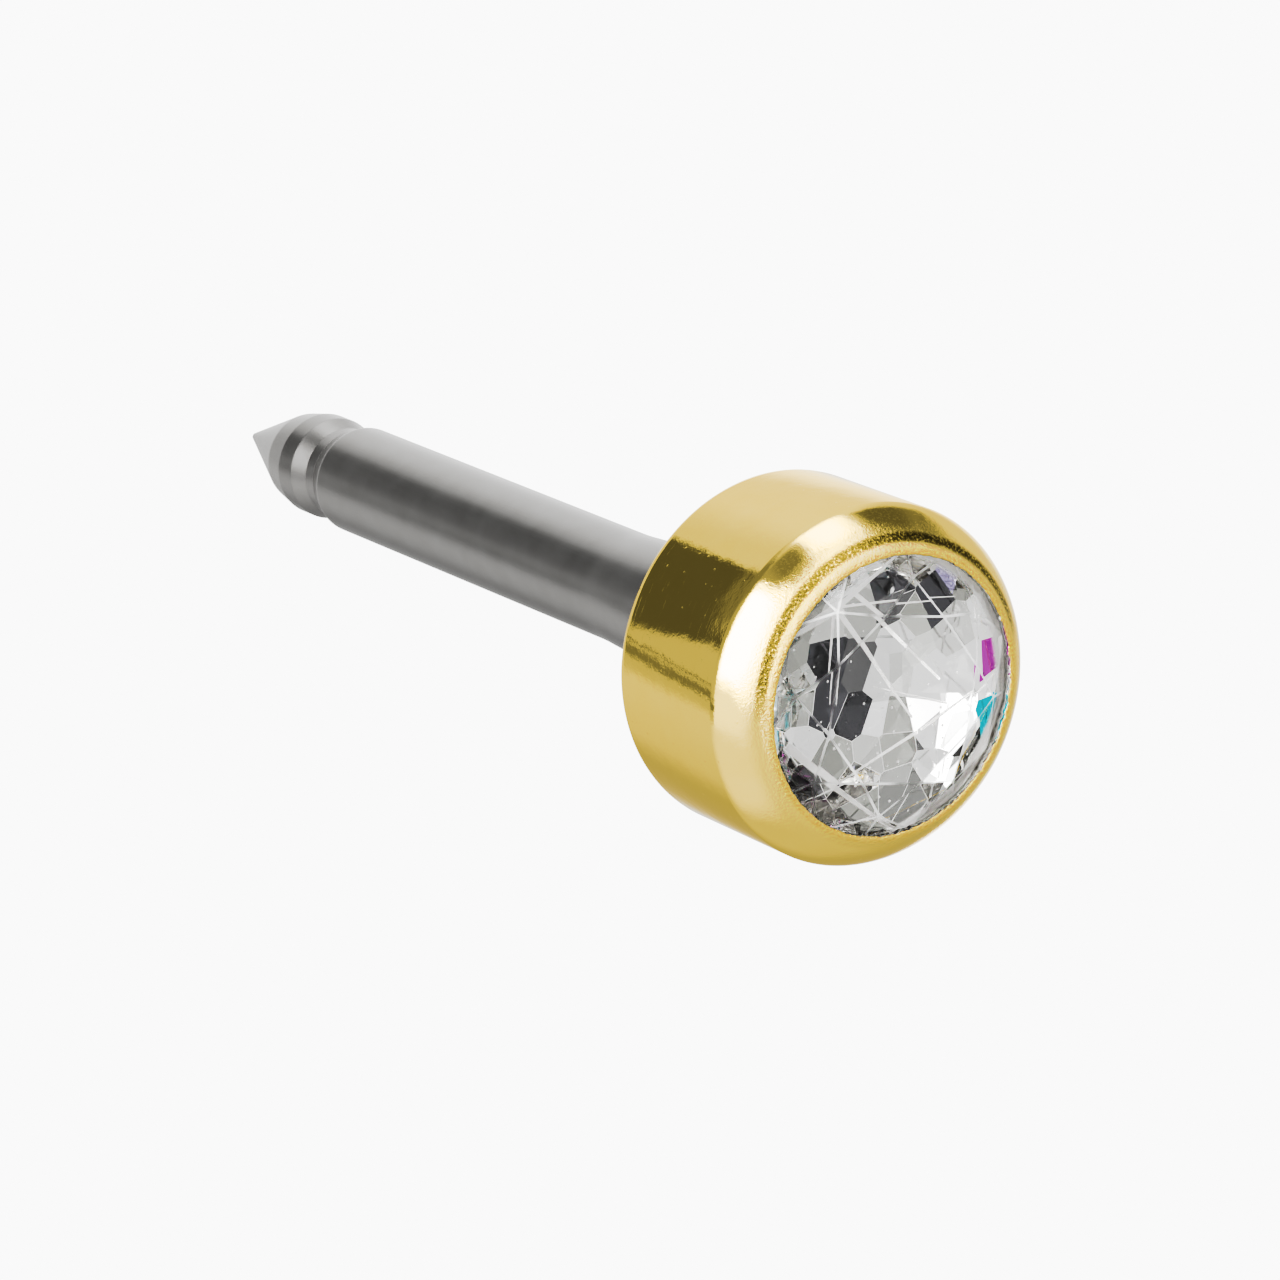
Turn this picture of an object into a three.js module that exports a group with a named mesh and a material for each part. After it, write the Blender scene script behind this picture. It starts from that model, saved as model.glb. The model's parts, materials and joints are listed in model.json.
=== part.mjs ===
// A stud earring: a round crystal in a gold-plated bezel, on a steel pin with a pointed end.
// Millimetres, +Z up. The stud lies on its side as it rests by itself: the head's back rim and the
// pin's collar touch the ground plane, the stone looks towards -Y and the point lies towards +Y.
import * as THREE from "three";
import { ConvexGeometry } from "three/addons/geometries/ConvexGeometry.js";
import { mergeVertices } from "three/addons/utils/BufferGeometryUtils.js";

// Driving dimensions. Depths are measured along the stud, from the crest of the bezel's lip.
const HEAD_RADIUS = 1.5;
const HEAD_BACK_RADIUS = 1.488;
const HEAD_DEPTH = 1.763;
const HEAD_BACK_BREAK = 0.04;
const LIP_RADIUS = 1.177;
const LIP_ROUND_DEPTH = 0.404;
const LIP_ROUND_POWER = 1.48;
const LIP_MOUTH_RADIUS = 1.155;
const LIP_MOUTH_DEPTH = 0.07;
const CREST_BREAK = 0.014;

const STONE_RADIUS = 1.24;
const TABLE_RADIUS = 0.74;
const STAR_TIP_RADIUS = 0.98;
const TABLE_DEPTH = -0.13;
const GIRDLE_DEPTH = 0.17;
const GIRDLE_THICKNESS = 0.06;
const PAVILION_ANGLE = THREE.MathUtils.degToRad(41);
const PAVILION_TIP_RADIUS = 0.5;
const STONE_TURN = THREE.MathUtils.degToRad(-7.8);
const MAIN_FACETS = 8;

const STONE_GAP = 0.03;
const SEAT_INNER_RADIUS = 0.95;
const FLOOR_DEPTH = 1.36;

const PIN_RADIUS = 0.473;
const PIN_LENGTH = 9.95;
const PIN_ROOT_RADIUS = 0.6;
const PIN_ROOT_END = 3.8;
const SHOULDER_DEPTH = 8.08;
const GROOVE_RADIUS = 0.402;
const GROOVE_FRONT = 8.26;
const GROOVE_BACK = 8.38;
const COLLAR_RADIUS = 0.455;
const COLLAR_FRONT = 8.56;
const COLLAR_BACK = 8.76;
const CONE_RADIUS = 0.4;
const CONE_DEPTH = 9.03;
const POINT_RADIUS = 0.035;
const SPIGOT_RADIUS = 0.34;
const SPIGOT_FRONT = 1.42;
const SPIGOT_GAP = 0.03;
const ROOT_GAP = 0.02;
const ROOT_CLEAR_RING = 0.04;

const HEAD_SIDES = 72;
const PIN_SIDES = 48;
const ROUND_STEPS = 7;

// A solid turned about Y from [radius, depth] rows, with an edge of its facets straight downwards.
function turned(rows, sides) {
  const profile = rows.map(([radius, depth]) => new THREE.Vector2(radius, depth));
  const geometry = new THREE.LatheGeometry(profile, sides);
  geometry.deleteAttribute("normal");
  geometry.deleteAttribute("uv");
  return mergeVertices(geometry, 1e-5);
}

// The lip's outside, from its crest to the barrel: fuller than a flat chamfer, flatter than a circle.
function lipRound() {
  const rows = [];
  const width = HEAD_RADIUS - LIP_RADIUS;
  for (let step = 1; step <= ROUND_STEPS; step += 1) {
    const angle = (Math.PI / 2) * (step / ROUND_STEPS);
    const radius = LIP_RADIUS + width * Math.sin(angle) ** LIP_ROUND_POWER;
    const depth = LIP_ROUND_DEPTH * (1 - Math.cos(angle) ** LIP_ROUND_POWER);
    rows.push([radius, depth]);
  }
  return rows;
}

// The cup: barrel and lip outside, a pocket that fits the stone inside, and a hole for the pin.
function bezelProfile() {
  const crownSlope = (GIRDLE_DEPTH - TABLE_DEPTH) / (STONE_RADIUS - TABLE_RADIUS);
  const pocketRadius = STONE_RADIUS + STONE_GAP;
  const pocketTop = LIP_MOUTH_DEPTH + (pocketRadius - LIP_MOUTH_RADIUS) * crownSlope;
  const pocketBottom = GIRDLE_DEPTH + GIRDLE_THICKNESS + STONE_GAP;
  const seatDepth = pocketBottom + (pocketRadius - SEAT_INNER_RADIUS) * Math.tan(PAVILION_ANGLE);
  const holeRadius = SPIGOT_RADIUS + SPIGOT_GAP;
  const breakMiddle = HEAD_BACK_BREAK * (1 - Math.SQRT1_2);
  const rows = [
    [LIP_MOUTH_RADIUS, LIP_MOUTH_DEPTH],
    [LIP_MOUTH_RADIUS, CREST_BREAK],
    [LIP_RADIUS, 0],
    ...lipRound(),
    [HEAD_BACK_RADIUS, HEAD_DEPTH - HEAD_BACK_BREAK],
    [HEAD_BACK_RADIUS - breakMiddle, HEAD_DEPTH - breakMiddle],
    [HEAD_BACK_RADIUS - HEAD_BACK_BREAK, HEAD_DEPTH],
    [PIN_ROOT_RADIUS + ROOT_CLEAR_RING, HEAD_DEPTH],
    [holeRadius, HEAD_DEPTH],
    [holeRadius, FLOOR_DEPTH],
    [SEAT_INNER_RADIUS, FLOOR_DEPTH],
    [SEAT_INNER_RADIUS, seatDepth],
    [pocketRadius, pocketBottom],
    [pocketRadius, pocketTop],
  ];
  rows.push(rows[0]);
  return rows;
}

// The pin: spigot in the cup's floor, tapered root, shank, shoulder, groove, collar and cone.
function pinProfile() {
  return [
    [0, SPIGOT_FRONT],
    [SPIGOT_RADIUS, SPIGOT_FRONT],
    [SPIGOT_RADIUS, HEAD_DEPTH + ROOT_GAP],
    [PIN_ROOT_RADIUS, HEAD_DEPTH + ROOT_GAP],
    [PIN_RADIUS, PIN_ROOT_END],
    [PIN_RADIUS, SHOULDER_DEPTH],
    [GROOVE_RADIUS, GROOVE_FRONT],
    [GROOVE_RADIUS, GROOVE_BACK],
    [COLLAR_RADIUS, COLLAR_FRONT],
    [COLLAR_RADIUS, COLLAR_BACK],
    [CONE_RADIUS, CONE_DEPTH],
    [POINT_RADIUS, PIN_LENGTH - POINT_RADIUS],
    [0, PIN_LENGTH],
  ];
}

// The stone: a round brilliant. The rings' depths follow from the planes of the main facets.
function stoneGeometry() {
  const halfStep = Math.PI / MAIN_FACETS;
  const crownSlope = (GIRDLE_DEPTH - TABLE_DEPTH) / (STONE_RADIUS - TABLE_RADIUS);
  const pavilionSlope = Math.tan(PAVILION_ANGLE);
  const girdleBack = GIRDLE_DEPTH + GIRDLE_THICKNESS;
  const starDepth = GIRDLE_DEPTH - crownSlope * (STONE_RADIUS - STAR_TIP_RADIUS * Math.cos(halfStep));
  const tipDepth = girdleBack + pavilionSlope * (STONE_RADIUS - PAVILION_TIP_RADIUS * Math.cos(halfStep));
  const culetDepth = girdleBack + pavilionSlope * STONE_RADIUS;
  const points = [new THREE.Vector3(0, culetDepth, 0)];
  const addRing = (radius, depth, count, turn) => {
    for (let index = 0; index < count; index += 1) {
      const angle = STONE_TURN + turn + (2 * Math.PI * index) / count;
      points.push(new THREE.Vector3(radius * Math.sin(angle), depth, radius * Math.cos(angle)));
    }
  };
  addRing(TABLE_RADIUS, TABLE_DEPTH, MAIN_FACETS, 0);
  addRing(STAR_TIP_RADIUS, starDepth, MAIN_FACETS, halfStep);
  addRing(STONE_RADIUS, GIRDLE_DEPTH, 2 * MAIN_FACETS, 0);
  addRing(STONE_RADIUS, girdleBack, 2 * MAIN_FACETS, 0);
  addRing(PAVILION_TIP_RADIUS, tipDepth, MAIN_FACETS, halfStep);
  const geometry = new ConvexGeometry(points);
  geometry.deleteAttribute("normal");
  return mergeVertices(geometry, 1e-5);
}

// How far a turned profile reaches below the stud's axis when its front is raised by the given tilt.
function reachBelow(rows, tilt) {
  return Math.max(...rows.map(([radius, depth]) => radius * Math.cos(tilt) + depth * Math.sin(tilt)));
}

// The tilt at which the head's rim and the pin's end touch one plane.
function restingTilt(head, pin) {
  let low = 0;
  let high = Math.PI / 4;
  while (high - low > 1e-9) {
    const middle = (low + high) / 2;
    const headIsLower = reachBelow(head, middle) > reachBelow(pin, middle);
    if (headIsLower) {
      low = middle;
    } else {
      high = middle;
    }
  }
  return low;
}

function piece(name, geometry, colour, roughness, metalness) {
  const material = new THREE.MeshStandardMaterial({ color: colour, roughness, metalness });
  const mesh = new THREE.Mesh(geometry, material);
  mesh.name = name;
  return mesh;
}

const bezelRows = bezelProfile();
const pinRows = pinProfile();

const stud = new THREE.Group();
stud.add(piece("bezel_cup", turned(bezelRows, HEAD_SIDES), 0xd9bb72, 0.15, 1));
stud.add(piece("crystal", stoneGeometry(), 0xe9ecef, 0.02, 0));
stud.add(piece("ear_post", turned(pinRows, PIN_SIDES), 0x9b9a97, 0.25, 1));

// The stud's depth axis runs along +Y and dips towards the point; the box stands centred on the origin.
stud.rotation.x = -restingTilt(bezelRows, pinRows);
const box = new THREE.Box3().setFromObject(stud, true);
stud.position.set(0, -(box.min.y + box.max.y) / 2, -box.min.z);

export default stud;
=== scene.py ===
"""A gold-plated stud earring with a round crystal, lying on a pale floor in soft studio light."""

import json
import math

import bmesh
import bpy
from bpy.props import FloatProperty, IntProperty, PointerProperty
from mathutils import Color, Matrix, Quaternion, Vector, noise


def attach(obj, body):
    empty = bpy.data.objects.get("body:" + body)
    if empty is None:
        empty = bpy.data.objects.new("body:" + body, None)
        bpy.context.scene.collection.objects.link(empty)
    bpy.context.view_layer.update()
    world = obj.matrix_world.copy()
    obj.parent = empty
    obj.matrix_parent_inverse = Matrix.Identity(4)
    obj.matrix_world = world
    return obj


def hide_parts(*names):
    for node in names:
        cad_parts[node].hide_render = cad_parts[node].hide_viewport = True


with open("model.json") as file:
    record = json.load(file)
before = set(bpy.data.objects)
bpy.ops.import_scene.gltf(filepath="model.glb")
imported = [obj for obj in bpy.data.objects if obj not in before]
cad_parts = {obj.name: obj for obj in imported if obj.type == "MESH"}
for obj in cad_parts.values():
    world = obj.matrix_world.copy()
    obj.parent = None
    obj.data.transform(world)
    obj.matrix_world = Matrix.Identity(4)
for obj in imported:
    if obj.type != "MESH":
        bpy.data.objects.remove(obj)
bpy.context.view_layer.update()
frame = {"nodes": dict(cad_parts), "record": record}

bl_info = {
    "name": "Bezel Stud Earring",
    "version": (1, 0, 0),
    "blender": (4, 5, 0),
    "location": "View3D > Sidebar > Stud Earring",
    "description": "Builds a bezel-set crystal stud earring on a pale floor in studio light",
    "category": "Add Mesh",
}

MM = 0.001
EAR_AXIS = Vector(frame["record"]["mounts"][0]["axis"]).normalized()


class BezelSizes(bpy.types.PropertyGroup):
    """Sizes of the gold cup. Depths run along the stud from the crest of the lip."""

    radius: FloatProperty(name="Radius", description="Barrel radius in mm", default=1.5)
    back_radius: FloatProperty(name="Back radius", description="Radius at the back in mm",
                               default=1.488)
    depth: FloatProperty(name="Depth", description="Depth of the cup in mm", default=1.763)
    back_break: FloatProperty(name="Back break", description="Round on the back edge in mm",
                              default=0.12)
    lip_radius: FloatProperty(name="Lip radius", description="Radius of the lip's crest in mm",
                              default=1.177)
    lip_depth: FloatProperty(name="Lip depth", description="Depth of the lip's round in mm",
                             default=0.404)
    lip_power: FloatProperty(name="Lip fullness", description="1 is a circle's arc", default=1.48)
    mouth_radius: FloatProperty(name="Mouth radius", description="Opening over the stone in mm",
                                default=1.155)
    mouth_depth: FloatProperty(name="Mouth depth", description="Thickness of the lip's edge in mm",
                               default=0.07)


class PinSizes(bpy.types.PropertyGroup):
    """Sizes of the steel pin. Depths run along the stud from the crest of the lip."""

    radius: FloatProperty(name="Radius", description="Shank radius in mm", default=0.473)
    length: FloatProperty(name="Length", description="Depth of the point in mm", default=9.95)
    root_radius: FloatProperty(name="Root radius", description="Radius at the cup in mm", default=0.6)
    root_end: FloatProperty(name="Root end", description="Depth where the flare ends in mm",
                            default=3.8)
    groove_radius: FloatProperty(name="Groove radius", description="Radius of the groove in mm",
                                 default=0.402)
    collar_radius: FloatProperty(name="Collar radius", description="Radius of the collar in mm",
                                 default=0.455)


class StoneSizes(bpy.types.PropertyGroup):
    """Cut of the crystal: a round brilliant with a foiled back."""

    radius: FloatProperty(name="Radius", description="Girdle radius in mm", default=1.24)
    table_radius: FloatProperty(name="Table radius", description="Corner radius of the table in mm",
                                default=0.74)
    star_radius: FloatProperty(name="Star radius", description="Radius of the star tips in mm",
                               default=0.98)
    table_rise: FloatProperty(name="Table rise", description="Table above the lip's crest in mm",
                              default=0.13)
    girdle_depth: FloatProperty(name="Girdle depth", description="Depth of the girdle in mm",
                                default=0.17)
    girdle_width: FloatProperty(name="Girdle width", description="Thickness of the girdle in mm",
                                default=0.06)
    pavilion_angle: FloatProperty(name="Pavilion angle", description="Slope of the back", subtype="ANGLE",
                                  default=math.radians(4))
    tip_radius: FloatProperty(name="Tip radius", description="Where the lower facets end in mm",
                              default=1.1)
    turn: FloatProperty(name="Turn", description="Turn in the setting", subtype="ANGLE",
                        default=math.radians(-7.8))
    edge_wear: FloatProperty(name="Edge wear", description="Width of the worn edges in mm",
                             default=0.02)
    facets: IntProperty(name="Main facets", description="Main facets around the crown", default=8)


class StageSettings(bpy.types.PropertyGroup):
    """Camera and light."""

    azimuth: FloatProperty(name="Azimuth", description="Camera azimuth", subtype="ANGLE",
                           default=math.radians(-34.066))
    elevation: FloatProperty(name="Elevation", description="Camera elevation", subtype="ANGLE",
                             default=math.radians(26.166))
    distance: FloatProperty(name="Distance", description="Camera distance in mm", default=57.336)
    lens: FloatProperty(name="Lens", description="Focal length in mm on a 36 mm sensor", default=202.7)
    lip_right: FloatProperty(name="Lip right", description="Lip right of the frame's middle in mm",
                             default=2.0196)
    lip_down: FloatProperty(name="Lip down", description="Lip below the frame's middle in mm",
                            default=0.4492)


# ---------------------------------------------------------------- shapes


def stud_place(pin_length):
    """The stud's own frame: Y runs along the axis into the ear, and Z is up across it."""
    pin = frame["nodes"]["ear_post"].data.vertices
    point = max((v.co for v in pin), key=lambda co: co.dot(EAR_AXIS))
    lip = point - EAR_AXIS * (pin_length * MM)
    lip.x = 0
    across = Vector((1, 0, 0))
    turn = Matrix((across, EAR_AXIS, across.cross(EAR_AXIS))).transposed()
    return Matrix.Translation(lip) @ turn.to_4x4()


def rounded(rows, steps=6):
    """A profile whose corners (radius, depth, round) are replaced by arcs."""
    points = []
    for index, (radius, depth, corner) in enumerate(rows):
        here = Vector((radius, depth))
        if not corner or index in (0, len(rows) - 1):
            points.append(here)
            continue
        before = (Vector(rows[index - 1][:2]) - here).normalized()
        after = (Vector(rows[index + 1][:2]) - here).normalized()
        half = before.angle(after) / 2
        reach = corner / math.tan(half)
        centre = here + (before + after).normalized() * (corner / math.sin(half))
        start = here + before * reach - centre
        sweep = start.angle_signed(here + after * reach - centre)
        for step in range(steps + 1):
            angle = -sweep * step / steps
            spun = Vector((start.x * math.cos(angle) - start.y * math.sin(angle),
                           start.x * math.sin(angle) + start.y * math.cos(angle)))
            points.append(centre + spun)
    return points


def turned(name, profile, sides, closed=False):
    """A mesh turned about the stud's axis from (radius, depth) points in mm."""
    shape = bmesh.new()
    rings = []
    for radius, depth in profile:
        if radius < 1e-6:
            rings.append([shape.verts.new((0, depth * MM, 0))])
            continue
        ring = []
        for side in range(sides):
            angle = 2 * math.pi * side / sides
            ring.append(shape.verts.new((radius * math.sin(angle) * MM, depth * MM,
                                         radius * math.cos(angle) * MM)))
        rings.append(ring)
    pairs = list(zip(rings, rings[1:] + rings[:1])) if closed else list(zip(rings, rings[1:]))
    for first, second in pairs:
        for side in range(sides):
            after = (side + 1) % sides
            corners = []
            for ring, place in ((first, side), (first, after), (second, after), (second, side)):
                vertex = ring[place % len(ring)]
                if vertex not in corners:
                    corners.append(vertex)
            shape.faces.new(corners).smooth = True
    bmesh.ops.recalc_face_normals(shape, faces=shape.faces)
    mesh = bpy.data.meshes.new(name)
    shape.to_mesh(mesh)
    shape.free()
    return mesh


def placed(name, mesh, node, materials):
    """An object made in the stud's frame, moved to its place, that stands for a CAD node."""
    mesh.transform(stud_place(bpy.context.scene.stud_pin.length))
    piece = bpy.data.objects.new(name, mesh)
    bpy.context.scene.collection.objects.link(piece)
    for material in materials:
        mesh.materials.append(material)
    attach(piece, "root")
    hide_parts(node)
    return piece


def even_normals(piece):
    """Lets the wide faces set the shading, so that small rounds don't bend it."""
    weigh = piece.modifiers.new("even normals", "WEIGHTED_NORMAL")
    weigh.weight = 100


# ---------------------------------------------------------------- materials


class Recipe:
    """A material's node tree, with a short call for each node."""

    def __init__(self, name, kind=None):
        self.material = (bpy.data.materials if kind is None else kind).new(name)
        self.material.use_nodes = True
        self.tree = self.material.node_tree
        self.tree.nodes.clear()

    def feed(self, socket, value):
        if isinstance(value, bpy.types.NodeSocket):
            self.tree.links.new(value, socket)
        else:
            socket.default_value = value

    def node(self, kind, settings=None, inputs=None):
        made = self.tree.nodes.new(kind)
        for key, value in (settings or {}).items():
            setattr(made, key, value)
        for key, value in (inputs or {}).items():
            self.feed(made.inputs[key], value)
        return made

    def math(self, operation, *values):
        made = self.node("ShaderNodeMath", {"operation": operation}, dict(enumerate(values)))
        return made.outputs[0]

    def ramp(self, value, low, high, to_low=0.0, to_high=1.0):
        made = self.node("ShaderNodeMapRange", {"interpolation_type": "SMOOTHSTEP"},
                         {0: value, 1: low, 2: high, 3: to_low, 4: to_high})
        return made.outputs[0]

    def noise(self, vector, scale, detail=2.0, rough=0.5):
        made = self.node("ShaderNodeTexNoise", None,
                         {"Vector": vector, "Scale": scale, "Detail": detail, "Roughness": rough})
        return made.outputs["Fac"]

    def blend(self, share, first, second):
        """The first colour turned into the second by the share."""
        return self.node("ShaderNodeMix", {"data_type": "RGBA"},
                         {0: share, 6: first, 7: second}).outputs[2]

    def vector_math(self, operation, *vectors, **others):
        inputs = {**dict(enumerate(vectors)), **others}
        return self.node("ShaderNodeVectorMath", {"operation": operation}, inputs).outputs[0]

    def flat_cells(self, plane, per_mm, feature="F1"):
        """Random cells over a plane."""
        return self.node("ShaderNodeTexVoronoi", {"voronoi_dimensions": "2D", "feature": feature},
                         {"Vector": plane, "Scale": per_mm, "Randomness": 0.95})

    def red(self, cells):
        """A random number for each cell."""
        return self.node("ShaderNodeSeparateColor", None, {0: cells.outputs["Color"]}).outputs[0]

    def bump(self, microns):
        return self.node("ShaderNodeBump", None,
                         {"Strength": 1.0, "Distance": MICRON, "Height": microns}).outputs[0]

    def finish(self, shader):
        self.node("ShaderNodeOutputMaterial", None, {"Surface": shader})
        return self.material

    def stud_coordinates(self):
        """Places in the stud's frame in mm: the point, radius, depth and way round."""
        stud = stud_place(bpy.context.scene.stud_pin.length)
        point = self.node("ShaderNodeMapping", {"vector_type": "TEXTURE"},
                          {"Vector": self.node("ShaderNodeTexCoord").outputs["Object"],
                           "Location": stud.to_translation(), "Rotation": stud.to_euler(),
                           "Scale": (MM, MM, MM)}).outputs[0]
        split = self.node("ShaderNodeSeparateXYZ", None, {0: point})
        across, depth, up = split.outputs
        radius = self.math("SQRT", self.math("ADD", self.math("MULTIPLY", across, across),
                                             self.math("MULTIPLY", up, up)))
        way = self.math("ARCTAN2", across, up)
        return point, radius, depth, way

    def dot(self, vector, axis):
        return self.node("ShaderNodeVectorMath", {"operation": "DOT_PRODUCT"},
                         {0: vector, 1: axis}).outputs["Value"]

    def vector(self, x, y, z):
        return self.node("ShaderNodeCombineXYZ", None, {0: x, 1: y, 2: z}).outputs[0]

    def length(self, vector):
        return self.node("ShaderNodeVectorMath", {"operation": "LENGTH"}, {0: vector}).outputs["Value"]

    def distance(self, vector, place):
        return self.node("ShaderNodeVectorMath", {"operation": "DISTANCE"},
                         {0: vector, 1: place}).outputs["Value"]

    def metal(self, colour, gloss, **others):
        return self.node("ShaderNodeBsdfPrincipled", None,
                         {"Base Color": colour, "Metallic": 1.0, "Roughness": gloss, **others}).outputs[0]

    def scaled_sum(self, *pairs):
        """The sum of value times share pairs."""
        total = None
        for value, share in pairs:
            term = self.math("MULTIPLY", value, share)
            total = term if total is None else self.math("ADD", total, term)
        return total


MICRON = 1e-6
CRYSTAL_INDEX = 1.45

# How the foil's small mirrors lie, in mm where they are sizes, and the greys painted on them in turn, which
# stand in for the dark and bright reflections of a cut stone's facets.
# The shifts only choose which part of the endless random layout shows.
FOIL = {"cells_per_mm": 3.7, "lean": 0.20, "rim": 1.12, "rim_widening": 0.10,
        "shift_across": -0.8, "shift_up": -28.3,
        "splinters_per_mm": 2.0, "splinter_lean": 0.08,
        "raised_from": 0.80, "raised_by": 0.30, "specks_per_mm": 11.0}
FOIL_TONES = [
    {"from": 0.0, "colour": (0.48, 0.48, 0.46, 1)},
    {"from": 0.20, "colour": (0.64, 0.64, 0.62, 1)},
    {"from": 0.45, "colour": (0.82, 0.82, 0.80, 1)},
    {"from": 0.68, "colour": (0.30, 0.30, 0.30, 1)},
    {"from": 0.77, "colour": (0.98, 0.98, 0.97, 1)},
]
# Painted greys for the foil's places, in place of dark reflections, and the foil's own silver.
PAINTED_DARK_GREY = (0.19, 0.19, 0.20, 1)
GREY = (0.32, 0.32, 0.32, 1)
PAINTED_PALE_GREY = (0.42, 0.42, 0.41, 1)
SILVER = (1.0, 1.0, 0.99, 1)

# Places on the foil, in mm: painted dark and grey reflections, coloured painted glints in place of the
# stone's fire, and ones raised to face the light.
FOIL_PLACES = [
    {"across": 0.6, "up": -0.3, "reach": 0.45, "colour": SILVER, "aside": 0.0, "rise": 0.30},
    {"across": 0.45, "up": -0.75, "reach": 0.35, "colour": SILVER, "aside": 0.0, "rise": 0.27},
    {"across": 0.9, "up": 0.2, "reach": 0.15, "colour": SILVER, "aside": 0.0, "rise": 0.25},
    {"across": -0.95, "up": -0.15, "reach": 0.25, "colour": SILVER, "aside": -0.3, "rise": 0.0},
    {"across": -0.4, "up": -1.0, "reach": 0.15, "colour": SILVER, "aside": -0.3, "rise": 0.0},
    {"across": -1.0, "up": 0.1, "reach": 0.2, "colour": SILVER, "aside": -0.3, "rise": 0.0},
    {"across": -0.15, "up": 1.0, "reach": 0.15, "colour": SILVER, "aside": -0.3, "rise": 0.0},
    {"across": -0.55, "up": 0.2, "reach": 0.15, "colour": PAINTED_DARK_GREY, "aside": 0.0, "rise": 0.0},
    {"across": -0.35, "up": 0.45, "reach": 0.15, "colour": PAINTED_DARK_GREY, "aside": 0.0, "rise": 0.0},
    {"across": 0.0, "up": 0.4, "reach": 0.15, "colour": PAINTED_DARK_GREY, "aside": 0.0, "rise": 0.0},
    {"across": -0.15, "up": 0.25, "reach": 0.1, "colour": GREY, "aside": 0.0, "rise": 0.0},
    {"across": -0.25, "up": -0.2, "reach": 0.15, "colour": PAINTED_DARK_GREY, "aside": 0.0, "rise": 0.0},
    {"across": -0.7, "up": -0.5, "reach": 0.15, "colour": GREY, "aside": 0.0, "rise": 0.0},
    {"across": -0.45, "up": -0.8, "reach": 0.1, "colour": PAINTED_DARK_GREY, "aside": 0.0, "rise": 0.0},
    {"across": -0.2, "up": -1.0, "reach": 0.1, "colour": PAINTED_DARK_GREY, "aside": 0.0, "rise": 0.0},
    {"across": 0.1, "up": -0.9, "reach": 0.15, "colour": PAINTED_PALE_GREY, "aside": 0.0, "rise": 0.0},
    {"across": 0.3, "up": 0.8, "reach": 0.15, "colour": PAINTED_DARK_GREY, "aside": 0.0, "rise": 0.0},
    {"across": 0.6, "up": 0.65, "reach": 0.1, "colour": PAINTED_DARK_GREY, "aside": 0.0, "rise": 0.0},
    {"across": 0.7, "up": 0.9, "reach": 0.2, "colour": (0.60, 0.58, 0.76, 1), "aside": 0.0, "rise": 0.0},
    {"across": 1.0, "up": 0.0, "reach": 0.15, "colour": (0.50, 0.12, 0.46, 1), "aside": 0.0, "rise": 0.0},
    {"across": 0.95, "up": -0.55, "reach": 0.25, "colour": (0.03, 0.50, 0.60, 1), "aside": 0.0, "rise": 0.0},
]

# Long lines on the foil, painted white as glints (painted highlights), along which the foil also leans up a
# little. Each runs from a point in mm, at an angle in degrees from the right, and most fan out from one point
# at the upper left.
FAN = (-0.35, 0.75)
GLINT_LINES = [
    {"from": FAN, "way": 25, "length": 0.8, "width": 0.022},
    {"from": FAN, "way": 195, "length": 0.6, "width": 0.030},
    {"from": FAN, "way": -10, "length": 1.1, "width": 0.010},
    {"from": FAN, "way": -60, "length": 1.2, "width": 0.020},
    {"from": FAN, "way": -100, "length": 0.75, "width": 0.013},
    {"from": (-0.2, 0.85), "way": -50, "length": 1.15, "width": 0.018},
    {"from": (0.3, -0.4), "way": 195, "length": 1.15, "width": 0.013},
    {"from": (0.3, -0.4), "way": 20, "length": 0.9, "width": 0.012},
    {"from": (0.6, -0.25), "way": 155, "length": 0.8, "width": 0.008},
    {"from": (-0.9, -0.2), "way": -45, "length": 1.35, "width": 0.032},
    {"from": (0.95, 0.7), "way": -100, "length": 0.35, "width": 0.012},
]

# The brown speckled ring painted round the upper half of the lip, in mm, with faint patches: painted shade
# that stands in for the dark reflections the lip shows there.
LIP_PAINTED_SHADE = {"radius": 1.255, "half_width": 0.055, "raised": 0.035, "from_up": (0.05, 0.4),
           "patch_share": 0.33, "colour": (0.16, 0.118, 0.036, 1)}
LIP_PAINTED_SHADE_PATCHES = [
    {"across": 0.2, "up": 1.35, "reach": 0.3},
    {"across": 0.55, "up": 1.15, "reach": 0.2},
    {"across": -0.7, "up": 1.2, "reach": 0.2},
]


def painted_lip_shade_share(mix, across, up, radius, depth, grain, upper):
    """Where painted shade darkens the lip: a speckled ring and faint patches on its upper half, standing in
    for dark reflections.
    """
    ring = mix.length(mix.vector(across, 0.0, mix.math("SUBTRACT", up, LIP_PAINTED_SHADE["raised"])))
    off_ring = mix.math("ABSOLUTE", mix.math("SUBTRACT", ring, LIP_PAINTED_SHADE["radius"]))
    half_width = LIP_PAINTED_SHADE["half_width"]
    share = mix.math("MULTIPLY", upper, mix.ramp(off_ring, half_width, 0.3 * half_width))
    for patch in LIP_PAINTED_SHADE_PATCHES:
        away = mix.distance(mix.vector(across, 0.0, up), (patch["across"], 0, patch["up"]))
        near = mix.ramp(away, patch["reach"], 0.4 * patch["reach"], 0.0, LIP_PAINTED_SHADE["patch_share"])
        share = mix.math("MAXIMUM", share, near)
    on_lip = mix.math("MULTIPLY", mix.ramp(radius, 1.20, 1.24), mix.ramp(depth, 0.4, 0.3))
    share = mix.math("MULTIPLY", share, on_lip)
    return mix.math("MULTIPLY", share, mix.ramp(grain, 0.68, 0.46, 0.35, 1.0))


def gold_dust(mix, point):
    """Specks of dust of many sizes under the plating."""
    cells = mix.node("ShaderNodeTexVoronoi", {"feature": "F1"}, {"Vector": point, "Scale": 13.0})
    size = mix.math("MAXIMUM", mix.ramp(mix.red(cells), 0.45, 1.0, 0.0, 0.2), 0.001)
    outside = mix.ramp(mix.math("DIVIDE", cells.outputs["Distance"], size), 0.4, 1.0)
    return mix.math("SUBTRACT", 1.0, outside)


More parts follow.
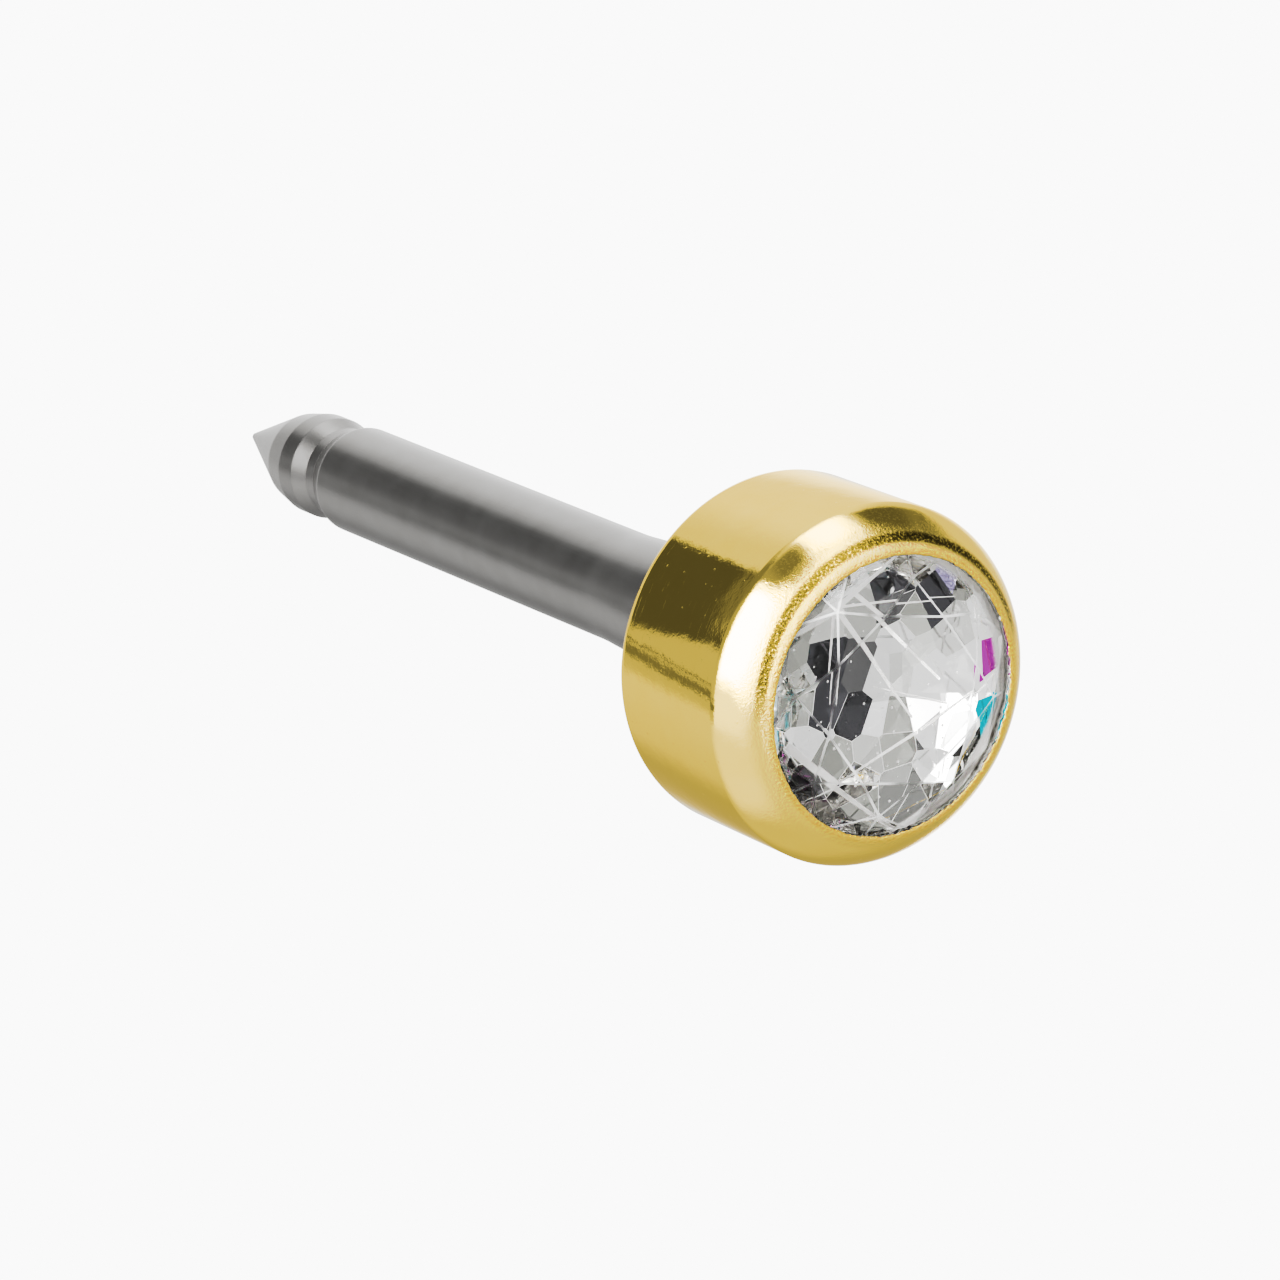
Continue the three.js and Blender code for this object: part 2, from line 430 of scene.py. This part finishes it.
def gold_plate():
    """Yellow gold plating: high polish, faint orange peel, hairlines and dust; a burnished lip with painted
    shade, a dark speckled ring, on its upper half.
    """
    mix = Recipe("polished gold plate")
    point, radius, depth, way = mix.stud_coordinates()
    across, up = (mix.dot(point, axis) for axis in ((1, 0, 0), (0, 0, 1)))
    round_way = mix.vector(mix.math("MULTIPLY", way, 1.5), depth, radius)

    sway = mix.noise(point, 4.5, 1.0)
    peel = mix.noise(point, 13.0, 2.0)
    fine = mix.noise(point, 55.0, 1.0)
    long_way = mix.node("ShaderNodeMapping", None, {"Vector": round_way, "Rotation": (0, 0, 0.5),
                                                    "Scale": (1.2, 26.0, 3.0)}).outputs[0]
    lines = mix.ramp(mix.noise(long_way, 2.0, 3.0), 0.62, 0.72)
    dust = gold_dust(mix, point)

    grain = mix.noise(point, 46.0, 3.0, 0.7)
    near_crest = mix.ramp(depth, 0.2, 0.1)
    at_lip = mix.math("MULTIPLY", mix.ramp(radius, 1.285, 1.20), near_crest)
    over_lip = mix.math("MULTIPLY", mix.ramp(radius, 1.46, 1.30), mix.ramp(depth, 0.4, 0.3))
    upper = mix.ramp(up, *LIP_PAINTED_SHADE["from_up"])
    rough_side = mix.math("MULTIPLY", upper, mix.ramp(across, 1.0, 0.5))
    pressed = mix.math("MULTIPLY", over_lip, mix.ramp(rough_side, 0.0, 1.0, 0.12, 0.26))
    burnish = mix.math("MULTIPLY", grain, mix.math("ADD", mix.math("MULTIPLY", at_lip, 0.45), pressed))
    height = mix.scaled_sum((sway, 2.2), (peel, 0.9), (fine, 0.3), (lines, -0.14), (dust, 0.8),
                            (burnish, 22.0))

    rub = mix.noise(point, 4.0, 3.0)
    gloss = mix.math("ADD", mix.scaled_sum((rub, 0.05), (lines, 0.05), (at_lip, 0.10)), 0.04)
    worn = mix.math("MULTIPLY", mix.ramp(radius, 1.225, 1.19), near_crest)
    worn = mix.math("MULTIPLY", worn, mix.ramp(grain, 0.62, 0.40))
    # Painted shade: a dark speckled ring and patches on the upper lip, in place of dark reflections.
    painted_lip_shade = painted_lip_shade_share(mix, across, up, radius, depth, grain, upper)
    tone = mix.blend(rub, (0.94, 0.730, 0.300, 1), (0.96, 0.757, 0.330, 1))
    tone = mix.blend(worn, tone, (0.84, 0.61, 0.22, 1))
    tone = mix.blend(painted_lip_shade, tone, LIP_PAINTED_SHADE["colour"])
    return mix.finish(mix.metal(tone, gloss, Normal=mix.bump(height),
                                **{"Specular Tint": (0.98, 0.90, 0.72, 1)}))


def silver_pocket():
    """The cup's bright inside, under the stone, which the plating leaves silvery."""
    mix = Recipe("bright pocket")
    point = mix.stud_coordinates()[0]
    cloud = mix.noise(point, 5.0, 3.0)
    tone = mix.blend(cloud, (0.80, 0.79, 0.77, 1), (0.90, 0.89, 0.88, 1))
    return mix.finish(mix.metal(tone, mix.math("MULTIPLY", cloud, 0.3)))


def steel():
    """Turned and tumbled steel: soft reflections with faint drawing marks."""
    mix = Recipe("polished surgical steel")
    point, radius, depth, way = mix.stud_coordinates()
    drawn = mix.vector(mix.math("MULTIPLY", way, 9.0), mix.math("MULTIPLY", depth, 0.5), radius)
    marks = mix.noise(drawn, 4.0, 3.0, 0.6)
    cloud = mix.noise(point, 5.0, 3.0)
    height = mix.scaled_sum((marks, 0.25), (cloud, 0.9))
    gloss = mix.math("ADD", 0.27, mix.scaled_sum((marks, 0.05), (cloud, 0.06)))
    tone = mix.blend(cloud, (0.36, 0.354, 0.346, 1), (0.40, 0.397, 0.392, 1))
    return mix.finish(mix.metal(tone, gloss, Normal=mix.bump(height)))


def cut_glass():
    """Clear crystal glass with faint polish marks."""
    mix = Recipe("cut crystal glass")
    point = mix.stud_coordinates()[0]
    polish = mix.noise(point, 20.0, 2.0)
    gloss = mix.ramp(polish, 0.6, 0.8, 0.0, 0.03)
    shader = mix.node("ShaderNodeBsdfPrincipled", None,
                      {"Base Color": (1.0, 1.0, 1.0, 1.0), "Roughness": gloss, "IOR": CRYSTAL_INDEX,
                       "Transmission Weight": 1.0})
    return mix.finish(shader.outputs[0])


def foil_glint_lines(mix, point):
    """One on the foil's long painted glint lines, which taper towards their far ends."""
    total = 0.0
    for glint in GLINT_LINES:
        start, length, way = Vector(glint["from"]), glint["length"], math.radians(glint["way"])
        run = Vector((math.cos(way), math.sin(way)))
        aside = Vector((-run.y, run.x))
        along = mix.math("SUBTRACT", mix.dot(point, (run.x, 0, run.y)), start.dot(run))
        beside = mix.math("SUBTRACT", mix.dot(point, (aside.x, 0, aside.y)), start.dot(aside))
        width = mix.ramp(along, 0.0, length, 1.4 * glint["width"], 0.6 * glint["width"])
        line = mix.ramp(mix.math("DIVIDE", mix.math("ABSOLUTE", beside), width), 1.0, 0.6)
        for end_from, end_to in ((0.0, 0.03), (length, length - 0.03)):
            line = mix.math("MULTIPLY", line, mix.ramp(along, end_from, end_to))
        total = mix.math("MAXIMUM", total, line)
    return total


def foil_places(mix, cells, tone):
    """The cells' tones with the listed places among them, and how each cell is turned."""
    raised = mix.math("GREATER_THAN", mix.red(cells), FOIL["raised_from"])
    push = mix.vector_math("SCALE", (0, 0, FOIL["raised_by"]), Scale=raised)
    for place in FOIL_PLACES:
        spot = (place["across"] + FOIL["shift_across"], place["up"] + FOIL["shift_up"], 0)
        near = mix.math("LESS_THAN", mix.distance(cells.outputs["Position"], spot), place["reach"])
        tone = mix.blend(near, tone, place["colour"])
        push = mix.blend(near, push, (place["aside"], 0, place["rise"], 1))
    return tone, push


def silver_foil():
    """The silvered back of the crystal: many small flat mirrors that lean their own ways, painted in greys
    and coloured glints, with painted white highlights.
    """
    mix = Recipe("silver foil")
    point, radius = mix.stud_coordinates()[:2]
    across, up = (mix.dot(point, axis) for axis in ((1, 0, 0), (0, 0, 1)))
    plane = mix.vector(mix.math("ADD", across, FOIL["shift_across"]),
                       mix.math("ADD", up, FOIL["shift_up"]), 0.0)
    cells = mix.flat_cells(plane, FOIL["cells_per_mm"])
    seams = mix.flat_cells(plane, FOIL["cells_per_mm"], "DISTANCE_TO_EDGE")
    splinters = mix.flat_cells(plane, FOIL["splinters_per_mm"])
    specks = mix.flat_cells(plane, FOIL["specks_per_mm"])

    # Painted reflections: each cell takes a grey in turn, and the listed places paint dark greys and coloured
    # glints.
    tone = mix.node("ShaderNodeValToRGB", None, {0: mix.red(cells)})
    tone.color_ramp.interpolation = "CONSTANT"
    for index, step in enumerate(FOIL_TONES):
        stops = tone.color_ramp.elements
        stop = stops[index] if index < len(stops) else stops.new(step["from"])
        stop.position = step["from"]
        stop.color = step["colour"]
    colour, turned_by = foil_places(mix, cells, tone.outputs[0])
    colour = mix.node("ShaderNodeMix", {"data_type": "RGBA", "blend_type": "MULTIPLY"},
                      {0: 1.0, 6: colour, 7: mix.ramp(mix.red(splinters), 0.0, 1.0, 0.78, 1.05)}).outputs[2]

    # Painted highlights: a white rim, wider on the bright right side, and white glint lines; white cell seams
    # and specks join them.
    bright_side = mix.ramp(across, -0.2, 0.5, 0.0, FOIL["rim_widening"])
    rim = mix.ramp(mix.math("ADD", radius, bright_side), FOIL["rim"], FOIL["rim"] + 0.08)
    glint_lines = foil_glint_lines(mix, point)
    seam = mix.math("MULTIPLY", mix.ramp(seams.outputs["Distance"], 0.018, 0.004),
                    mix.ramp(mix.noise(point, 1.3, 1.0), 0.50, 0.58))
    speck_size = mix.ramp(mix.red(specks), 0.6, 1.0, 0.0, 0.13)
    speck = mix.math("LESS_THAN", specks.outputs["Distance"], speck_size)
    white_rim_lines_specks = mix.math("MAXIMUM", mix.math("MAXIMUM", rim, glint_lines), speck)
    white = mix.math("MAXIMUM", white_rim_lines_specks, seam)
    colour = mix.blend(white, colour, (1.0, 0.99, 0.97, 1))

    pushes = [turned_by, mix.vector(0.0, 0.0, mix.math("MULTIPLY", glint_lines, 0.25))]
    flat = mix.math("SUBTRACT", 1.0, white)
    for tint, lean in ((cells, FOIL["lean"]), (splinters, FOIL["splinter_lean"])):
        push = mix.vector_math("SUBTRACT", tint.outputs["Color"], (0.5, 0.5, 0.5))
        pushes.append(mix.vector_math("SCALE", push, Scale=mix.math("MULTIPLY", lean, flat)))
    facing = mix.node("ShaderNodeNewGeometry").outputs["Normal"]
    for push in pushes:
        facing = mix.vector_math("ADD", facing, push)
    facing = mix.vector_math("NORMALIZE", facing)

    return mix.finish(mix.metal(colour, mix.math("MULTIPLY", white_rim_lines_specks, 0.45), Normal=facing))


def worn_edge():
    """Abraded facet edges, which catch the light as white lines."""
    mix = Recipe("worn crystal edge")
    point = mix.stud_coordinates()[0]
    wear = mix.ramp(mix.noise(point, 1.6, 2.0), 0.42, 0.58)
    clear = mix.math("SUBTRACT", 1.0, mix.math("MULTIPLY", wear, 0.55))
    shader = mix.node("ShaderNodeBsdfPrincipled", None,
                      {"Base Color": (0.97, 0.97, 0.96, 1), "Roughness": 0.35, "IOR": CRYSTAL_INDEX,
                       "Transmission Weight": clear})
    return mix.finish(shader.outputs[0])


# ---------------------------------------------------------------- pieces


# Hidden inside the cup, in mm: the stone's seat, the pocket's floor and the hole for the pin.
POCKET = {"gap": 0.03, "seat_radius": 0.95, "floor_depth": 1.36, "hole_radius": 0.37, "hole_ring": 0.66}
# The lip's nibbled inner edge, in mm, and how much of the bite is all round it.
NIBBLE = {"band": 0.03, "depth": 0.08, "all_round": 0.45}


class STUD_OT_bezel_cup(bpy.types.Operator):
    """Gold cup that holds the stone: barrel, rounded lip and pocket"""

    bl_idname = "stud_earring.bezel_cup"
    bl_label = "Bezel cup"

    sides: IntProperty(name="Sides", description="Segments around", default=960)
    bite: FloatProperty(name="Bite", description="Depth of the nibbled edge in mm", default=0.014)
    lip_steps: IntProperty(name="Lip steps", description="Rows over the lip's round", default=30)

    def lip_round(self, size):
        rows = []
        width = size.radius - size.lip_radius
        for step in range(1, self.lip_steps):
            angle = math.pi / 2 * step / self.lip_steps
            rows.append((size.lip_radius + width * math.sin(angle) ** size.lip_power,
                         size.lip_depth * (1 - math.cos(angle) ** size.lip_power), 0))
        rows.append((size.radius, size.lip_depth, 0))
        return rows

    def profile(self, size, stone):
        slope = (stone.girdle_depth + stone.table_rise) / (stone.radius - stone.table_radius)
        pocket = stone.radius + POCKET["gap"]
        pocket_top = size.mouth_depth + (pocket - size.mouth_radius) * slope
        pocket_bottom = stone.girdle_depth + stone.girdle_width + POCKET["gap"]
        seat_radius, floor, hole = (POCKET[name] for name in ("seat_radius", "floor_depth", "hole_radius"))
        seat = pocket_bottom + (pocket - seat_radius) * math.tan(stone.pavilion_angle)
        rows = [
            (size.mouth_radius, size.mouth_depth, 0),
            (size.mouth_radius, 0.0, 0.012),
            (size.lip_radius, 0.0, 0),
            *self.lip_round(size),
            (size.back_radius, size.depth, size.back_break),
            (POCKET["hole_ring"], size.depth, 0),
            (hole, size.depth, 0),
            (hole, floor, 0),
            (seat_radius, floor, 0),
            (seat_radius, seat, 0),
            (pocket, pocket_bottom, 0),
            (pocket, pocket_top, 0),
        ]
        return rounded(rows, 8)

    def serrate(self, mesh, size):
        """Nibbles the lip's inner edge, as a burnisher leaves it; most on the lower right."""
        for vertex in mesh.vertices:
            across, depth, up = vertex.co / MM
            radius = math.hypot(across, up)
            edge = 1 - abs(radius - size.mouth_radius) / NIBBLE["band"]
            if depth >= NIBBLE["depth"] or edge <= 0:
                continue
            lower_right = max(0.0, (0.9 * across - 0.45 * up) / radius)
            side = NIBBLE["all_round"] + (1 - NIBBLE["all_round"]) * lower_right
            coarse = noise.noise(Vector((across, up, 0)) * 16)
            bite = coarse + 0.6 * noise.noise(Vector((across, up, 3)) * 34)
            push = 1 - self.bite * side * edge * bite / radius
            vertex.co.x *= push
            vertex.co.z *= push

    def execute(self, context):
        size, stone = context.scene.stud_bezel, context.scene.stud_stone
        mesh = turned("bezel_cup_gold", self.profile(size, stone), self.sides, closed=True)
        for face in mesh.polygons:
            across, depth, up = face.center / MM
            outward = face.normal.x * across + face.normal.z * up
            inside = outward < -0.1 or math.hypot(across, up) < 1.0
            face.material_index = int(0.01 < depth < 1.5 and inside)
        self.serrate(mesh, size)
        materials = [gold_plate(), silver_pocket()]
        piece = placed("bezel_cup_gold", mesh, "bezel_cup", materials)
        even_normals(piece)
        return {"FINISHED"}


# Places along the pin, in mm from the crest of the lip, and the spigot hidden in the cup.
PIN_DEPTHS = {"spigot": 1.42, "shoulder": 8.08, "groove_front": 8.26, "groove_back": 8.38,
              "collar_front": 8.56, "collar_back": 8.76, "cone": 9.03}
SPIGOT_RADIUS = 0.34
ROOT_GAP = 0.02
CONE_RADIUS = 0.4


class STUD_OT_ear_post(bpy.types.Operator):
    """Steel pin with a flared root, a groove, a collar and a pointed end"""

    bl_idname = "stud_earring.ear_post"
    bl_label = "Ear post"

    sides: IntProperty(name="Sides", description="Segments around", default=160)

    def profile(self, size, cup_depth):
        at = PIN_DEPTHS
        return rounded([
            (0.0, at["spigot"], 0),
            (SPIGOT_RADIUS, at["spigot"], 0.02),
            (SPIGOT_RADIUS, cup_depth + ROOT_GAP, 0),
            (size.root_radius, cup_depth + ROOT_GAP, 0.02),
            (size.radius, size.root_end, 3.0),
            (size.radius, at["shoulder"], 0.12),
            (size.groove_radius, at["groove_front"], 0.05),
            (size.groove_radius, at["groove_back"], 0.05),
            (size.collar_radius, at["collar_front"], 0.08),
            (size.collar_radius, at["collar_back"], 0.08),
            (CONE_RADIUS, at["cone"], 0.25),
            (0.03, size.length - 0.02, 0.02),
            (0.0, size.length, 0),
        ], 8)

    def execute(self, context):
        size = context.scene.stud_pin
        mesh = turned("ear_post_steel", self.profile(size, context.scene.stud_bezel.depth), self.sides)
        piece = placed("ear_post_steel", mesh, "ear_post", [steel()])
        even_normals(piece)
        return {"FINISHED"}


class STUD_OT_crystal(bpy.types.Operator):
    """Round brilliant crystal with worn facet edges and a silver foil on its back"""

    bl_idname = "stud_earring.crystal"
    bl_label = "Crystal"

    def corners(self, size):
        half = math.pi / size.facets
        slope = (size.girdle_depth + size.table_rise) / (size.radius - size.table_radius)
        back = size.girdle_depth + size.girdle_width
        tan = math.tan(size.pavilion_angle)
        star = size.girdle_depth - slope * (size.radius - size.star_radius * math.cos(half))
        tip = back + tan * (size.radius - size.tip_radius * math.cos(half))
        rings = [
            (size.table_radius, -size.table_rise, size.facets, 0.0),
            (size.star_radius, star, size.facets, half),
            (size.radius, size.girdle_depth, 2 * size.facets, 0.0),
            (size.radius, back, 2 * size.facets, 0.0),
            (size.tip_radius, tip, size.facets, half),
        ]
        points = [Vector((0, back + tan * size.radius, 0))]
        for radius, depth, count, turn in rings:
            for index in range(count):
                angle = size.turn + turn + 2 * math.pi * index / count
                points.append(Vector((radius * math.sin(angle), depth, radius * math.cos(angle))))
        return points

    def execute(self, context):
        size = context.scene.stud_stone
        shape = bmesh.new()
        # Cut in mm and scaled down after, so that tolerances hold.
        verts = [shape.verts.new(p) for p in self.corners(size)]
        bmesh.ops.convex_hull(shape, input=verts)
        bmesh.ops.dissolve_limit(shape, angle_limit=math.radians(0.3), verts=shape.verts,
                                 edges=shape.edges)
        bmesh.ops.recalc_face_normals(shape, faces=shape.faces)
        back = size.girdle_depth + size.girdle_width
        for face in shape.faces:
            face.smooth = False
            face.material_index = 1 if face.calc_center_median().y > back - size.girdle_width else 0
        crown = [e for e in shape.edges if max(v.co.y for v in e.verts) < size.girdle_depth + 0.001]
        bmesh.ops.bevel(shape, geom=crown, offset=size.edge_wear / 2, offset_type="OFFSET", segments=3,
                        profile=0.5, affect="EDGES", clamp_overlap=True, material=2)
        bmesh.ops.scale(shape, vec=(MM, MM, MM), verts=shape.verts)
        mesh = bpy.data.meshes.new("crystal_cut")
        shape.to_mesh(mesh)
        shape.free()
        materials = [cut_glass(), silver_foil(), worn_edge()]
        placed("crystal_cut", mesh, "crystal", materials)
        return {"FINISHED"}


# ---------------------------------------------------------------- stage


def toward(azimuth, elevation):
    """Direction from the stud, in degrees: azimuth 0 is +Y and 90 is +X."""
    azimuth, elevation = math.radians(azimuth), math.radians(elevation)
    return Vector((math.sin(azimuth) * math.cos(elevation), math.cos(azimuth) * math.cos(elevation),
                   math.sin(elevation)))


# Soft-edged cards of light and shade round the stud. A centre is an azimuth and an elevation in
# degrees, and half sizes and soft edges are tangents, seen from the stud. Cards overhead are laid
# out along the ceiling.
CEILING = (0, 1, 0)
ROOM_CARDS = [
    {"centre": (28, 18), "half": (0.36, 0.85), "level": 2.0, "soft": 0.4},
    {"centre": (38, -8), "half": (0.30, 0.20), "level": 2.7, "soft": 0.3},
    {"centre": (165, -8), "half": (0.14, 0.18), "level": 2.2, "soft": 0.2},
    {"centre": (-99, -27), "half": (0.50, 0.80), "level": 2.0, "soft": 0.5},
    {"centre": (-97, -5), "half": (0.42, 0.24), "level": 2.7, "soft": 0.25},
    {"centre": (40, -57), "half": (0.75, 0.30), "level": 0.88, "soft": 0.4},
    {"centre": (46, -35), "half": (0.05, 0.05), "level": 5.2, "soft": 0.08},
    {"centre": (-50, -4), "half": (0.50, 0.26), "level": 1.05, "soft": 0.10},
    {"centre": (-50, -7), "half": (0.55, 0.008), "level": 0.40, "soft": 0.008},
    {"centre": (-50, -11), "half": (0.55, 0.035), "level": 0.50, "soft": 0.04},
    {"centre": (-46, 36), "half": (0.42, 0.50), "level": 0.80, "soft": 0.2},
    {"centre": (-33, 36), "half": (0.20, 0.50), "level": 0.54, "soft": 0.12, "roll": -25},
    {"centre": (-24, 15), "half": (0.30, 0.16), "level": 0.34, "soft": 0.05, "roll": -44},
    {"centre": (84, 38), "half": (0.38, 0.34), "level": 0.53, "soft": 0.12},
    {"centre": (95, 9), "half": (0.17, 0.30), "level": 0.56, "soft": 0.12},
    {"centre": (-146, 22), "half": (0.14, 0.50), "level": 0.58, "soft": 0.12},
    {"centre": (-72, 72.5), "half": (0.27, 0.24), "level": 0.72, "soft": 0.15, "up": CEILING},
    {"centre": (-99, 33), "half": (0.42, 0.49), "level": 14.0, "soft": 0.26},
    {"centre": (52, 74.5), "half": (0.21, 0.33), "level": 7.5, "soft": 0.24, "up": CEILING},
    {"centre": (165, 54), "half": (0.23, 0.22), "level": 13.0, "soft": 0.2, "up": CEILING},
]
FLOOR_LEVEL = 3.9

# The studio camera's curve. In the shade the picture is as bright as the scene, and in the light
# it gains the same step for each doubling.
TONES = {"at_one": 0.782, "per_doubling": 0.103, "bend": 9, "darkest": 0.07, "brightest": 5.0,
         "points_per_doubling": 2}


def shown(scene):
    """The linear light that the picture shows for a brightness in the scene."""
    bend = TONES["bend"]
    in_light = TONES["at_one"] + TONES["per_doubling"] * math.log2(scene)
    display = min(1.0, (scene ** -bend + in_light ** -bend) ** (-1 / bend))
    return Color((display, display, display)).from_srgb_to_scene_linear().r


class STUD_OT_stage(bpy.types.Operator):
    """Floor, light cards, world and camera"""

    bl_idname = "stud_earring.stage"
    bl_label = "Stage"

    def floor(self):
        half = 1.5
        mesh = bpy.data.meshes.new("pale_floor")
        mesh.from_pydata([(-half, -half, 0), (half, -half, 0), (half, half, 0), (-half, half, 0)], [],
                         [(0, 1, 2, 3)])
        mix = Recipe("pale floor")
        shader = mix.node("ShaderNodeEmission", None, {"Color": (1, 1, 1, 1), "Strength": FLOOR_LEVEL})
        mesh.materials.append(mix.finish(shader.outputs[0]))
        floor = bpy.data.objects.new("pale_floor", mesh)
        bpy.context.scene.collection.objects.link(floor)
        floor.visible_glossy = False
        floor.visible_diffuse = False
        floor.visible_transmission = False

    def card(self, mix, place, light, centre, half, level, soft=0.08, roll=0.0, up=(0, 0, 1)):
        """Lays a soft-edged card of one brightness over the room's light, seen from the stud.

        centre is its azimuth and elevation, half its half width and height as tangents."""
        middle = toward(*centre)
        right = middle.cross(Vector(up)).normalized()
        right.rotate(Quaternion(middle, math.radians(roll)))
        top = right.cross(middle)
        ahead = mix.dot(place, middle)
        share = mix.ramp(ahead, 0.0, 0.05)
        for axis, reach in ((right, half[0]), (top, half[1])):
            off = mix.math("ABSOLUTE", mix.math("DIVIDE", mix.dot(place, axis),
                                                mix.math("MAXIMUM", ahead, 0.05)))
            share = mix.math("MULTIPLY", share, mix.ramp(off, reach + soft / 2, reach - soft / 2))
        change = mix.math("MULTIPLY", share, mix.math("SUBTRACT", level, light))
        return mix.math("ADD", light, change)

    def world(self):
        mix = Recipe("studio room", bpy.data.worlds)
        place = mix.node("ShaderNodeTexCoord").outputs["Generated"]
        height = mix.dot(place, Vector((0, 0, 1)))
        light = mix.ramp(height, -0.9, -0.35, 1.22, 1.55)
        for card in ROOM_CARDS:
            light = self.card(mix, place, light, **card)
        seen = mix.node("ShaderNodeLightPath").outputs["Is Camera Ray"]
        to_floor = mix.math("SUBTRACT", FLOOR_LEVEL, light)
        light = mix.math("ADD", light, mix.math("MULTIPLY", seen, to_floor))
        back = mix.node("ShaderNodeBackground", None, {"Color": (1, 1, 1, 1), "Strength": light})
        mix.node("ShaderNodeOutputWorld", None, {"Surface": back.outputs[0]})
        bpy.context.scene.world = mix.material
        mix.material.cycles.sampling_method = "MANUAL"
        mix.material.cycles.sample_map_resolution = 1024

    def camera(self, settings, lip):
        azimuth, elevation = settings.azimuth, settings.elevation
        level = Vector((-math.sin(azimuth), math.cos(azimuth), 0))
        forward = level * math.cos(elevation) - Vector((0, 0, math.sin(elevation)))
        right = Vector((math.cos(azimuth), math.sin(azimuth), 0))
        down = forward.cross(right)
        aim = lip - (right * settings.lip_right + down * settings.lip_down) * MM
        data = bpy.data.cameras.new("camera")
        data.lens = settings.lens
        data.sensor_width = 36
        data.clip_start = 0.001
        data.clip_end = 20
        camera = bpy.data.objects.new("camera", data)
        camera.location = aim - forward * settings.distance * MM
        camera.rotation_mode = "QUATERNION"
        camera.rotation_quaternion = forward.to_track_quat("-Z", "Y")
        bpy.context.scene.collection.objects.link(camera)
        bpy.context.scene.camera = camera

    def tones(self, scene):
        """Gives the picture a studio camera's curve: a steep foot and a long, creamy shoulder."""
        doublings = math.log2(TONES["brightest"] / TONES["darkest"])
        steps = range(int(doublings * TONES["points_per_doubling"]))
        levels = [TONES["darkest"] * 2 ** (step / TONES["points_per_doubling"]) for step in steps]
        places = [(0.0, 0.0), *((level, shown(level)) for level in levels), (TONES["brightest"], 1.0)]
        view = scene.view_settings
        view.view_transform = "Standard"
        view.use_curve_mapping = True
        curves = view.curve_mapping
        curves.tone = "FILMLIKE"
        curves.extend = "HORIZONTAL"
        curves.use_clip = True
        curves.clip_min_x, curves.clip_min_y = 0.0, 0.0
        curves.clip_max_x, curves.clip_max_y = TONES["brightest"], 1.0
        curve = curves.curves[3]
        while len(curve.points) < len(places):
            curve.points.new(0.5, 0.5)
        for point, place in zip(sorted(curve.points, key=lambda p: p.location[0]), places):
            point.location = place
            point.handle_type = "AUTO_CLAMPED"
        curves.update()

    def execute(self, context):
        settings = context.scene.stud_stage
        lip = stud_place(context.scene.stud_pin.length).to_translation()
        self.floor()
        self.world()
        self.camera(settings, lip)
        scene = context.scene
        self.tones(scene)
        scene.cycles.max_bounces = 24
        scene.cycles.glossy_bounces = 12
        scene.cycles.transmission_bounces = 24
        return {"FINISHED"}


class STUD_PT_parts(bpy.types.Panel):
    """Lists the stud's pieces"""

    bl_label = "Stud Earring"
    bl_idname = "STUD_PT_parts"
    bl_space_type = "VIEW_3D"
    bl_region_type = "UI"
    bl_category = "Stud Earring"

    def draw(self, context):
        column = self.layout.column()
        for maker in MAKERS:
            column.operator(maker.bl_idname)


SETTINGS = {
    "stud_bezel": BezelSizes,
    "stud_pin": PinSizes,
    "stud_stone": StoneSizes,
    "stud_stage": StageSettings,
}
MAKERS = [STUD_OT_stage, STUD_OT_bezel_cup, STUD_OT_crystal, STUD_OT_ear_post]


def register():
    for group in SETTINGS.values():
        bpy.utils.register_class(group)
    for maker in MAKERS:
        bpy.utils.register_class(maker)
    bpy.utils.register_class(STUD_PT_parts)
    for name, group in SETTINGS.items():
        setattr(bpy.types.Scene, name, PointerProperty(type=group))


def unregister():
    for name in SETTINGS:
        delattr(bpy.types.Scene, name)
    for made in (STUD_PT_parts, *reversed(MAKERS), *reversed(SETTINGS.values())):
        bpy.utils.unregister_class(made)


def main():
    register()
    bpy.ops.stud_earring.stage()
    bpy.ops.stud_earring.bezel_cup()
    bpy.ops.stud_earring.crystal()
    bpy.ops.stud_earring.ear_post()
    bpy.context.view_layer.update()


if __name__ == "__main__":
    main()
